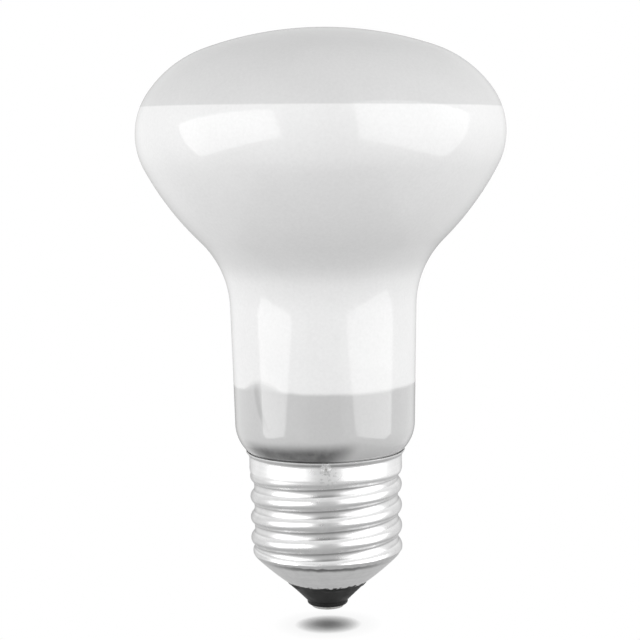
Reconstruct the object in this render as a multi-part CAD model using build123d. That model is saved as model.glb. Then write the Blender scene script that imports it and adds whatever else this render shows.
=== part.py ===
from build123d import *
import math
import os

# Reflector lamp with an Edison screw cap, drawn cap down with its axis on Z.
# Heights run upward from the lowest point of the centre contact, in millimetres and degrees.

# Glass bulb: a crown of three arcs, a curved flank, a throat and a slightly tapered neck
BULB_DIAMETER = 63.0
CROWN_HEIGHT = 17.75
CROWN_ANGLE = 19.0
BROW_ANGLE = 55.0
SHOULDER_RADIUS = 12.5
FLANK_RADIUS = 50.0
FLANK_HEIGHT = 29.5
THROAT_RADIUS = 16.5
NECK_LENGTH = 20.3
NECK_TAPER = 1.3
NECK_DIAMETER = 31.1
HEEL_HEIGHT = 4.7
TUCK_RADIUS = 2.0
GLASS_WALL = 0.8
SEAL_DEPTH = 9.0
SEAL_EDGE_RADIUS = 2.0

# Rolled aluminium cap shell with a right-hand Edison thread
CAP_WALL = 0.3
THREAD_MAJOR_DIAMETER = 26.4
THREAD_DEPTH = 0.88
THREAD_PITCH = 3.629
THREAD_LENGTH = 13.45
THREAD_LEAD_IN = 2.5
RUNOUT_RISE = 0.2
THREAD_ROOT_FLAT = 0.03
COLLAR_STEP = 0.05
COLLAR_FOOT_HEIGHT = 1.0
COLLAR_HEIGHT = 2.8
LIP_FLARE = 0.62
LIP_HEIGHT = 0.85
LAND_STEP = 0.35
LAND_HEIGHT = 0.8
LAND_FOOT_HEIGHT = 0.5
BEND_RADIUS = 0.9
CONE_HEIGHT = 5.05
CONE_MOUTH_DIAMETER = 14.2

# Black glass insulator, contact eyelet and solder at the tip
INSULATOR_CONE_HEIGHT = 3.5
INSULATOR_SEAT_HEIGHT = 2.2
NOSE_DIAMETER = 7.1
NOSE_HEIGHT = 0.75
NOSE_EDGE_RADIUS = 0.5
EYELET_DIAMETER = 5.6
EYELET_THICKNESS = 0.5
EYELET_EDGE = 0.25
EYELET_TUBE_DIAMETER = 2.6
EYELET_TUBE_LENGTH = 3.0
EYELET_BORE = 1.8
TIP_SOLDER_DIAMETER = 3.8
TIP_SOLDER_FLAT = 2.0
TIP_SOLDER_HEIGHT = 0.25
TIP_SOLDER_PLUG = 1.2

# Cement, lead wires and rim solder
CEMENT_HEIGHT = 2.0
WIRE_DIAMETER = 0.4
WIRE_BEND_RADIUS = 0.8
WIRE_TAIL = 0.3
CENTRE_WIRE_OFFSET = 3.0
CENTRE_WIRE_DROP = 4.0
RIM_SOLDER_WIDTH = 2.2
RIM_SOLDER_BULGE = 0.3

# Clearances and overlaps
LIP_CLEARANCE = 0.15
SEAL_CLEARANCE = 1.0
WIRE_CLEARANCE = 0.05
ROD_OVERLAP = 0.6
OVERCUT = 1.0

# Heights of the cap, from the tip upward
EYELET_FOOT = TIP_SOLDER_HEIGHT
NOSE_FOOT = EYELET_FOOT + EYELET_THICKNESS
NOSE_TOP = NOSE_FOOT + NOSE_HEIGHT
CONE_FOOT = NOSE_TOP + INSULATOR_CONE_HEIGHT
INSULATOR_TOP = CONE_FOOT + INSULATOR_SEAT_HEIGHT
THREAD_FOOT = CONE_FOOT + CONE_HEIGHT
COLLAR_FOOT = THREAD_FOOT + THREAD_LENGTH
COLLAR_BASE = COLLAR_FOOT + COLLAR_FOOT_HEIGHT
LIP_FOOT = COLLAR_BASE + COLLAR_HEIGHT
RIM = LIP_FOOT + LIP_HEIGHT
SEAL_END = RIM - SEAL_DEPTH

# Radii of the cap
CREST_RADIUS = THREAD_MAJOR_DIAMETER / 2
ROOT_RADIUS = CREST_RADIUS - THREAD_DEPTH
COLLAR_RADIUS = CREST_RADIUS + COLLAR_STEP
LIP_RADIUS = COLLAR_RADIUS + LIP_FLARE
LAND_RADIUS = CREST_RADIUS - LAND_STEP
MOUTH_RADIUS = CONE_MOUTH_DIAMETER / 2
SEAL_RADIUS = ROOT_RADIUS - CAP_WALL - SEAL_CLEARANCE
WIRE_RADIUS = WIRE_DIAMETER / 2

# The side wire leaves through a notch in the rim, square to the axis
WIRE_EXIT_HEIGHT = LIP_FOOT - WIRE_RADIUS


def polar(radius, angle):
    """Returns the point at an angle in degrees on a circle about the origin."""
    return Vector(radius * math.cos(math.radians(angle)), radius * math.sin(math.radians(angle)))


def heading(start, end):
    """Returns the angle in degrees of the way from one point to another."""
    return math.degrees(math.atan2(end.Y - start.Y, end.X - start.X))


def turned(outline):
    """Revolves a closed outline of radius and height about the lamp's axis."""
    return revolve(Plane.XZ * make_face(outline), Axis.Z)


def turned_polygon(*points):
    """Revolves a polygon of radius and height points about the lamp's axis."""
    return turned(Polyline(*points, close=True))


def crown_radii():
    """Solves the crown and brow radii whose arcs reach the bulb's width within the crown's height."""
    sin_crown = math.sin(math.radians(CROWN_ANGLE))
    cos_crown = math.cos(math.radians(CROWN_ANGLE))
    sin_brow = math.sin(math.radians(BROW_ANGLE))
    cos_brow = math.cos(math.radians(BROW_ANGLE))
    reach = BULB_DIAMETER / 2 - SHOULDER_RADIUS * (1 - sin_brow)
    drop = CROWN_HEIGHT - SHOULDER_RADIUS * cos_brow
    scale = sin_crown * (cos_crown - cos_brow) - (sin_brow - sin_crown) * (1 - cos_crown)
    crown = (reach * (cos_crown - cos_brow) - drop * (sin_brow - sin_crown)) / scale
    brow = (drop * sin_crown - reach * (1 - cos_crown)) / scale
    return crown, brow


def flank_centre(shoulder, throat):
    """Finds the centre of the flank arc that is tangent to the shoulder and to the throat."""
    to_shoulder = FLANK_RADIUS - SHOULDER_RADIUS
    to_throat = FLANK_RADIUS + THROAT_RADIUS
    between = throat - shoulder
    along = (to_shoulder**2 - to_throat**2 + between.length**2) / (2 * between.length)
    across = math.sqrt(to_shoulder**2 - along**2)
    way = between.normalized()
    return shoulder + way * along + Vector(way.Y, -way.X) * across


def bulb_outline(inset):
    """Draws the bulb's half section, moved into the glass by an inset."""
    outward = polar(1, -NECK_TAPER)
    heel = Vector(NECK_DIAMETER / 2, RIM + HEEL_HEIGHT)
    neck_top = heel + Vector(-outward.Y, outward.X) * NECK_LENGTH
    widest_height = neck_top.Y + FLANK_HEIGHT

    crown_radius, brow_radius = crown_radii()
    crown = Vector(0, widest_height + CROWN_HEIGHT - crown_radius)
    brow = crown + polar(crown_radius - brow_radius, 90 - CROWN_ANGLE)
    shoulder = Vector(BULB_DIAMETER / 2 - SHOULDER_RADIUS, widest_height)
    throat = neck_top + outward * THROAT_RADIUS
    flank = flank_centre(shoulder, throat)
    flank_top = heading(flank, shoulder)
    flank_foot = heading(flank, throat)

    # The heel turns in until the glass passes the cap's lip with its clearance
    pass_point = Vector(LIP_RADIUS - CAP_WALL - LIP_CLEARANCE, RIM)
    chord = heel - pass_point
    heel_radius = chord.length**2 / (2 * chord.dot(outward))
    heel_centre = heel - outward * heel_radius
    heel_end = heading(heel_centre, pass_point)

    # Below the lip it tucks further in, half way to level, and runs back to the upright seal
    tuck_end = (heel_end - 90) / 2
    tuck = heel_centre + polar(heel_radius - TUCK_RADIUS, heel_end)
    tuck_foot = tuck + polar(TUCK_RADIUS, tuck_end)
    root_radius = (tuck_foot.X - SEAL_RADIUS) / (1 - math.cos(math.radians(tuck_end)))
    root = tuck + polar(TUCK_RADIUS + root_radius, tuck_end)
    edge = Vector(SEAL_RADIUS - SEAL_EDGE_RADIUS, SEAL_END + SEAL_EDGE_RADIUS)
    side = SEAL_RADIUS - inset
    floor = SEAL_END + inset
    top = widest_height + CROWN_HEIGHT - inset

    outline = Curve() + [
        CenterArc(crown, crown_radius - inset, 90, -CROWN_ANGLE),
        CenterArc(brow, brow_radius - inset, 90 - CROWN_ANGLE, CROWN_ANGLE - BROW_ANGLE),
        CenterArc(shoulder, SHOULDER_RADIUS - inset, 90 - BROW_ANGLE, flank_top - 90 + BROW_ANGLE),
        CenterArc(flank, FLANK_RADIUS - inset, flank_top, flank_foot - flank_top),
        CenterArc(throat, THROAT_RADIUS + inset, flank_foot + 180, -NECK_TAPER - flank_foot),
        Line(neck_top - outward * inset, heel - outward * inset),
        CenterArc(heel_centre, heel_radius - inset, -NECK_TAPER, heel_end + NECK_TAPER),
        CenterArc(tuck, TUCK_RADIUS - inset, heel_end, tuck_end - heel_end),
        CenterArc(root, root_radius + inset, tuck_end + 180, -tuck_end),
        Line((side, root.Y), (side, edge.Y)),
        CenterArc(edge, SEAL_EDGE_RADIUS - inset, 0, -90),
        Line((edge.X, floor), (0, floor)),
        Line((0, floor), (0, top)),
    ]
    return outline


def cone_radius(height, inset):
    """Gives the radius of the cap's cone at a height, moved into the sheet by an inset."""
    slope = (LAND_RADIUS - MOUTH_RADIUS) / CONE_HEIGHT
    return MOUTH_RADIUS + (height - CONE_FOOT) * slope - inset * math.hypot(1, slope)


def cone_height(radius, inset):
    """Gives the height at which the cap's cone has a radius, moved into the sheet by an inset."""
    slope = (LAND_RADIUS - MOUTH_RADIUS) / CONE_HEIGHT
    return CONE_FOOT + (radius - MOUTH_RADIUS + inset * math.hypot(1, slope)) / slope


def slope_point(start, end, radius):
    """Gives the point of a straight slope, or of its run beyond the end, at a radius."""
    share = (radius - start[0]) / (end[0] - start[0])
    return radius, start[1] + share * (end[1] - start[1])


def threaded_rod(inset):
    """Sweeps one rounded thread ridge round a core and runs it out at the foot of the thread."""
    half_chord = THREAD_PITCH / 4
    rise = THREAD_DEPTH / 2
    arc_radius = (half_chord**2 + rise**2) / (2 * rise)
    flank_angle = math.degrees(math.asin(half_chord / arc_radius))
    crest_centre = Vector(CREST_RADIUS - arc_radius, 0)
    crest = CenterArc(crest_centre, arc_radius - inset, -flank_angle, 2 * flank_angle)

    # The hollow beside the ridge is followed almost to its bottom, inside the core
    hollow_radius = arc_radius + inset
    stop_angle = math.degrees(math.acos(1 - THREAD_ROOT_FLAT / 4 / hollow_radius))
    upper_centre = Vector(ROOT_RADIUS + arc_radius, THREAD_PITCH / 2)
    lower_centre = Vector(ROOT_RADIUS + arc_radius, -THREAD_PITCH / 2)
    upper = CenterArc(upper_centre, hollow_radius, 180 + flank_angle, stop_angle - flank_angle)
    lower = CenterArc(lower_centre, hollow_radius, 180 - stop_angle, stop_angle - flank_angle)
    inner = ROOT_RADIUS - inset - THREAD_DEPTH
    back = Polyline(upper @ 1, (inner, (upper @ 1).Y), (inner, (lower @ 0).Y), lower @ 0)
    section = Plane.XZ * make_face(Curve() + [crest, upper, back, lower])

    # The ridge climbs until it is lost in the collar
    start = THREAD_FOOT - THREAD_LEAD_IN
    climb = COLLAR_BASE + THREAD_PITCH / 2 + OVERCUT - start
    path = Helix(THREAD_PITCH, climb, CREST_RADIUS)
    ridge = Pos(0, 0, start) * sweep(section, path, is_frenet=True)
    core_top = start + climb + THREAD_PITCH
    core_align = (Align.CENTER, Align.CENTER, Align.MIN)
    core = Cylinder(ROOT_RADIUS + THREAD_ROOT_FLAT - inset, core_top, align=core_align)

    runout_foot = THREAD_FOOT + RUNOUT_RISE
    runout_radius = LAND_RADIUS - THREAD_ROOT_FLAT - inset
    outside = CREST_RADIUS + OVERCUT
    keep = turned_polygon(
        (0, runout_foot),
        (runout_radius, runout_foot),
        (outside, runout_foot + THREAD_PITCH / 2),
        (outside, LIP_FOOT),
        (0, LIP_FOOT),
    )
    return (core + ridge) & keep


def cap_form(inset):
    """Builds the cap as a filled form: at no inset its outside, at the wall's inset its inside."""
    open_ends = OVERCUT if inset else 0
    core = ROOT_RADIUS + THREAD_ROOT_FLAT - inset
    land = LAND_RADIUS - inset
    collar = COLLAR_RADIUS - inset
    flare = LIP_FLARE / LIP_HEIGHT
    foot = CONE_FOOT - open_ends
    top = RIM + open_ends

    # Along the thread the form drops below the rod's core, on the slopes of the land and the collar
    land_top = THREAD_FOOT + LAND_HEIGHT
    land_end = (land, land_top)
    core_foot = (core, land_top + LAND_FOOT_HEIGHT)
    core_top = (core, COLLAR_FOOT)
    collar_end = (collar, COLLAR_BASE)
    bend = (land, cone_height(land, inset))
    outline = Polyline(
        (0, foot),
        (cone_radius(foot, inset), foot),
        bend,
        land_end,
        slope_point(land_end, core_foot, core - ROD_OVERLAP),
        slope_point(collar_end, core_top, core - ROD_OVERLAP),
        collar_end,
        (collar, LIP_FOOT),
        (collar + flare * (top - LIP_FOOT), top),
        (0, top),
        close=True,
    )
    face = make_face(outline)
    bend_corner = face.vertices().sort_by_distance(bend)[0]
    body = revolve(Plane.XZ * fillet(bend_corner, BEND_RADIUS - inset), Axis.Z)
    return body + threaded_rod(inset)


def round_wire(*points):
    """Bends a round wire along points of radius and height in the XZ plane."""
    path = Plane.XZ * FilletPolyline(*points, radius=WIRE_BEND_RADIUS)
    section = Plane(origin=path @ 0, z_dir=path % 0) * Circle(WIRE_RADIUS)
    return sweep(section, path)


def to_front(shape):
    """Turns a piece drawn on the right of the axis round to the front of the lamp."""
    return Rot(0, 0, -90) * shape


# Glass bulb: one closed wall of blown glass, sealed inside the cap
bulb_outside = turned(bulb_outline(0))
glass_envelope = bulb_outside - turned(bulb_outline(GLASS_WALL))

# Side lead: up beside the seal, out under the lip and through the rim
side_wire = to_front(
    round_wire(
        (SEAL_RADIUS + WIRE_CLEARANCE + WIRE_RADIUS, SEAL_END + SEAL_EDGE_RADIUS),
        (SEAL_RADIUS + WIRE_CLEARANCE + WIRE_RADIUS, COLLAR_FOOT),
        (COLLAR_RADIUS - CAP_WALL - WIRE_DIAMETER, WIRE_EXIT_HEIGHT),
        (COLLAR_RADIUS + WIRE_TAIL, WIRE_EXIT_HEIGHT),
    )
)

# Cap shell: the rolled sheet between the outer and the inner form, notched at the rim for the wire
cap_outside = cap_form(0)
notch_foot = WIRE_EXIT_HEIGHT - WIRE_RADIUS - WIRE_CLEARANCE
rim_notch = to_front(
    Pos(COLLAR_RADIUS, 0, notch_foot)
    * Box(
        2 * (LIP_FLARE + CAP_WALL),
        WIRE_DIAMETER + 2 * WIRE_CLEARANCE,
        RIM - notch_foot + OVERCUT,
        align=(Align.CENTER, Align.CENTER, Align.MIN),
    )
)
cap_shell = cap_outside - cap_form(CAP_WALL) - rim_notch

# Cement ring between the glass and the collar
cement_blank = turned_polygon(
    (SEAL_RADIUS - GLASS_WALL, COLLAR_BASE),
    (COLLAR_RADIUS - CAP_WALL, COLLAR_BASE),
    (COLLAR_RADIUS - CAP_WALL, COLLAR_BASE + CEMENT_HEIGHT),
    (SEAL_RADIUS - GLASS_WALL, COLLAR_BASE + CEMENT_HEIGHT),
)
capping_cement = cement_blank - bulb_outside - side_wire

# Insulator: black glass run into the mouth of the cone, with a rounded nose
insulator_outline = Polyline(
    (EYELET_TUBE_DIAMETER / 2, NOSE_FOOT),
    (NOSE_DIAMETER / 2, NOSE_FOOT),
    (NOSE_DIAMETER / 2, NOSE_TOP),
    (MOUTH_RADIUS, CONE_FOOT),
    (cone_radius(CONE_FOOT, CAP_WALL), CONE_FOOT),
    (cone_radius(INSULATOR_TOP, CAP_WALL), INSULATOR_TOP),
    (EYELET_TUBE_DIAMETER / 2, INSULATOR_TOP),
    close=True,
)
insulator_face = make_face(insulator_outline)
nose_corner = insulator_face.vertices().sort_by_distance((NOSE_DIAMETER / 2, NOSE_FOOT))[0]
insulator_face = fillet(nose_corner, NOSE_EDGE_RADIUS)
cap_insulator = revolve(Plane.XZ * insulator_face, Axis.Z)

# Contact eyelet: a flange with a broken edge under the nose and a tube up its bore
contact_eyelet = turned_polygon(
    (EYELET_BORE / 2, EYELET_FOOT),
    (EYELET_DIAMETER / 2 - EYELET_EDGE, EYELET_FOOT),
    (EYELET_DIAMETER / 2, EYELET_FOOT + EYELET_EDGE),
    (EYELET_DIAMETER / 2, NOSE_FOOT),
    (EYELET_TUBE_DIAMETER / 2, NOSE_FOOT),
    (EYELET_TUBE_DIAMETER / 2, NOSE_FOOT + EYELET_TUBE_LENGTH),
    (EYELET_BORE / 2, NOSE_FOOT + EYELET_TUBE_LENGTH),
)

# Centre lead: from the seal down to the axis and through the eyelet into its solder
centre_wire = round_wire(
    (CENTRE_WIRE_OFFSET, SEAL_END),
    (CENTRE_WIRE_OFFSET, SEAL_END - CENTRE_WIRE_DROP),
    (0, INSULATOR_TOP + CENTRE_WIRE_DROP),
    (0, EYELET_FOOT),
)

# Tip solder: a flattened drop under the eyelet with a plug up its bore
drop_foot = (TIP_SOLDER_FLAT / 2, 0)
drop_edge = (TIP_SOLDER_DIAMETER / 2, EYELET_FOOT)
drop_side = RadiusArc(drop_foot, drop_edge, -TIP_SOLDER_DIAMETER / 2)
drop_rest = Polyline(
    drop_edge,
    (EYELET_BORE / 2, EYELET_FOOT),
    (EYELET_BORE / 2, EYELET_FOOT + TIP_SOLDER_PLUG),
    (0, EYELET_FOOT + TIP_SOLDER_PLUG),
    (0, 0),
    drop_foot,
)
tip_solder = turned(Curve() + [drop_side, drop_rest]) - centre_wire

# Rim solder: a low round dab on the collar and lip over the end of the side lead
dab_radius = (RIM_SOLDER_WIDTH**2 / 4 + RIM_SOLDER_BULGE**2) / (2 * RIM_SOLDER_BULGE)
dab_centre = COLLAR_RADIUS + RIM_SOLDER_BULGE - dab_radius
dab_space = Pos(COLLAR_RADIUS, 0, RIM) * Box(
    2 * CAP_WALL + 2 * RIM_SOLDER_BULGE,
    2 * RIM_SOLDER_WIDTH,
    2 * RIM_SOLDER_WIDTH,
    align=(Align.CENTER, Align.CENTER, Align.MAX),
)
dab = to_front(Pos(dab_centre, 0, WIRE_EXIT_HEIGHT) * Sphere(dab_radius) & dab_space)
rim_solder = dab - cap_outside - side_wire

os.makedirs("parts", exist_ok=True)
export_step(glass_envelope, "parts/glass_envelope.step")
export_step(cap_shell, "parts/cap_shell.step")
export_step(capping_cement, "parts/capping_cement.step")
export_step(cap_insulator, "parts/cap_insulator.step")
export_step(contact_eyelet, "parts/contact_eyelet.step")
export_step(tip_solder, "parts/tip_solder.step")
export_step(centre_wire, "parts/centre_lead_wire.step")
export_step(side_wire, "parts/side_lead_wire.step")
export_step(rim_solder, "parts/rim_solder.step")
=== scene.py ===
"""Reflector lamp: a coated glass bulb in a screw cap, dressed and lit for a plain studio picture."""
import logging
import math
from collections.abc import Callable
from dataclasses import dataclass
from enum import Enum
from functools import partial

import bpy
from mathutils import Matrix, Quaternion, Vector, noise


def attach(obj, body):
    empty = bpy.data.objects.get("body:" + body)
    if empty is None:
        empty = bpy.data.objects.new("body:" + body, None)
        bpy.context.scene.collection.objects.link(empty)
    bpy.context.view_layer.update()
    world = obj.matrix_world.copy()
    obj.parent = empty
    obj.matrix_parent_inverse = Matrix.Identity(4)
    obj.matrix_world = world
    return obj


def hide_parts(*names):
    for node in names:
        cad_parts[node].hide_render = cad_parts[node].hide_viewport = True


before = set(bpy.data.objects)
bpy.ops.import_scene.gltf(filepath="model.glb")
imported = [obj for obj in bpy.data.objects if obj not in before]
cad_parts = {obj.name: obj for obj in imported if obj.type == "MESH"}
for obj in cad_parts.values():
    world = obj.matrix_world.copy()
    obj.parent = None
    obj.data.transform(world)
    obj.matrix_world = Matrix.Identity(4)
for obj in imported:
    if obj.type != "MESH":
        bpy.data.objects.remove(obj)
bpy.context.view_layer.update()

MM = 0.001
WHITE = "#ffffff"

# Setting of a Map Range that eases in and out
SOFT = {"interpolation_type": "SMOOTHSTEP"}

# Sizes that several pieces and finishes share, in mm
CONE_FOOT = 5.0
MOUTH_RADIUS = 7.1
BEND_HEIGHT = 10.05
COLLAR_BASE = 24.5
RIM_HEIGHT = 28.15

Point = tuple[float, float]
Place = tuple[float, float, float]
Piece = bpy.types.Object
Socket = bpy.types.NodeSocket
Tree = bpy.types.NodeTree
Inputs = dict[str | int, object] | tuple
AddNode = Callable[..., Socket]
log = logging.getLogger("reflector_bulb")


class Slot(Enum):
    """Material slots of the record, which each new piece is reported with."""

    GLASS = "coated_glass"
    ALUMINIUM = "cap_aluminium"
    BLACK_GLASS = "black_glass"
    BRASS = "contact_brass"
    SOLDER = "solder"


# Shared helpers


def linear(code: str) -> tuple[float, float, float, float]:
    """Turns an sRGB hex colour into linear red, green, blue and alpha.

    Args:
        code: the colour as "#rrggbb".

    Returns:
        The linear colour with full alpha.
    """
    channels = [int(code[i:i + 2], 16) / 255 for i in (1, 3, 5)]
    red, green, blue = (c / 12.92 if c <= 0.04045 else ((c + 0.055) / 1.055) ** 2.4 for c in channels)
    return (red, green, blue, 1.0)


def set_inputs(tree: Tree, node: bpy.types.Node, inputs: Inputs) -> None:
    """Sets or links a node's inputs.

    Args:
        tree: the node tree that holds the node.
        node: the node.
        inputs: values or sockets to link from, in order, or by the inputs' names or numbers.
    """
    for key, value in inputs.items() if isinstance(inputs, dict) else enumerate(inputs):
        if isinstance(value, Socket):
            tree.links.new(value, node.inputs[key])
        else:
            node.inputs[key].default_value = value


def add_node(tree: Tree, kind: str, inputs: Inputs = (), output: int | str = 0,
             **settings: object) -> Socket | None:
    """Adds one shader node with its settings, values and links.

    A Map Range takes its value, the span it reads and the span it gives, in this order. A colour Mix
    has its share at 0, its colours at 6 and 7 and its result at 2.

    Args:
        tree: the node tree that gets the node.
        kind: the node's type name without "ShaderNode".
        inputs: values or sockets to link from, in order, or by the inputs' names or numbers.
        output: the wanted output by name or number.
        settings: properties of the node.

    Returns:
        The wanted output, or None for a node that has no outputs.
    """
    node = tree.nodes.new("ShaderNode" + kind)
    for name, value in settings.items():
        setattr(node, name, value)
    set_inputs(tree, node, inputs)
    return node.outputs[output] if len(node.outputs) else None


def empty_tree(owner: bpy.types.Material | bpy.types.World) -> Tree:
    """Gives a new material or world an empty node tree.

    Args:
        owner: the material or world.

    Returns:
        The node tree.
    """
    owner.use_nodes = True
    owner.node_tree.nodes.clear()
    return owner.node_tree


def arc(centre: Vector, radius: float, start: float, turn: float, step: float) -> list[Point]:
    """Divides an arc of a profile into points.

    Args:
        centre: the arc's centre, radius and height in mm.
        radius: the arc's radius in mm.
        start: the angle at which it begins, in degrees.
        turn: the angle it turns through, in degrees.
        step: the wanted spacing of the points in mm.

    Returns:
        The points, without the arc's end.
    """
    count = max(3, math.ceil(abs(math.radians(turn)) * radius / step))
    angles = [math.radians(start + turn * i / count) for i in range(count)]
    return [(centre.x + radius * math.cos(a), centre.y + radius * math.sin(a)) for a in angles]


def pick(piece: Piece) -> None:
    """Makes a piece the active object and the only selected one.

    Args:
        piece: the piece.
    """
    bpy.ops.object.select_all(action="DESELECT")
    piece.select_set(True)
    bpy.context.view_layer.objects.active = piece


def turned_piece(name: str, profile: list[Point], steps: int) -> Piece:
    """Draws a profile by extruding one vertex and spins it about the lamp's axis.

    Args:
        name: the piece's name.
        profile: radius and height points in mm.
        steps: the number of steps round the axis.

    Returns:
        The new object, with its seam and poles closed and its faces pointing outwards.
    """
    bpy.ops.object.select_all(action="DESELECT")
    bpy.ops.mesh.primitive_plane_add(size=MM, location=(0, 0, 0))
    piece = bpy.context.object
    piece.name = name
    piece.data.name = name
    bpy.ops.object.mode_set(mode="EDIT")
    bpy.ops.mesh.select_all(action="SELECT")
    bpy.ops.mesh.merge(type="CENTER")
    bpy.ops.transform.translate(value=(profile[0][0] * MM, 0, profile[0][1] * MM))
    for before, after in zip(profile, profile[1:]):
        move = ((after[0] - before[0]) * MM, 0, (after[1] - before[1]) * MM)
        bpy.ops.mesh.extrude_vertices_move(TRANSFORM_OT_translate={"value": move})
    bpy.ops.mesh.select_all(action="SELECT")
    bpy.ops.mesh.spin(steps=steps, angle=2 * math.pi, center=(0, 0, 0), axis=(0, 0, 1))
    bpy.ops.mesh.select_all(action="SELECT")
    bpy.ops.mesh.remove_doubles(threshold=0.002 * MM)
    bpy.ops.mesh.normals_make_consistent(inside=False)
    bpy.ops.object.mode_set(mode="OBJECT")

    # An open sheet can come out inside out, which its outermost face shows
    outer = max(piece.data.polygons, key=lambda face: face.center.xy.length)
    if outer.normal.xy.dot(outer.center.xy) < 0:
        bpy.ops.object.mode_set(mode="EDIT")
        bpy.ops.mesh.flip_normals()
        bpy.ops.object.mode_set(mode="OBJECT")
    return piece


def thicken(piece: Piece, wall: float, even: bool) -> None:
    """Gives a sheet, the active object, a wall on its inner side.

    Args:
        piece: the sheet.
        wall: the wall's thickness in mm.
        even: whether the wall keeps its thickness round bends.
    """
    solid = piece.modifiers.new("wall", "SOLIDIFY")
    solid.thickness = wall * MM
    solid.offset = -1
    solid.use_even_offset = even
    bpy.ops.object.modifier_apply(modifier=solid.name)


def smooth(piece: Piece, angle: float) -> None:
    """Shades a piece smooth, apart from edges sharper than an angle in degrees."""
    pick(piece)
    bpy.ops.object.shade_smooth_by_angle(angle=math.radians(angle))


def ripple(point: Vector, wavelength: float) -> float:
    """Gives smooth noise between about -1 and 1 at a point in metres, with a wavelength in mm."""
    return noise.noise(point / (wavelength * MM))


# Finishes. Noise lies mostly between 0.3 and 0.7, and a Map Range spreads it to the wanted span


@dataclass(frozen=True)
class Finish:
    """A finish with one Principled shader, whose inputs each kind of material works out."""

    name: str

    def material(self) -> bpy.types.Material:
        """Builds the finish.

        Returns:
            Its new material.
        """
        made = bpy.data.materials.new(self.name)
        made.use_nodes = True
        tree = made.node_tree
        place = add_node(tree, "TexCoord", output="Object")
        place = add_node(tree, "VectorMath", {0: place, "Scale": 1 / MM}, operation="SCALE")
        set_inputs(tree, tree.nodes["Principled BSDF"], self.shade(partial(add_node, tree), place))
        return made

    def shade(self, add: AddNode, place: Socket) -> Inputs:
        """Works out the shader's inputs; each finish has its own.

        Args:
            add: adds a node to the material.
            place: the Object coordinates in mm.

        Returns:
            Values and sockets by the names of the shader's inputs.
        """
        raise NotImplementedError


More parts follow.
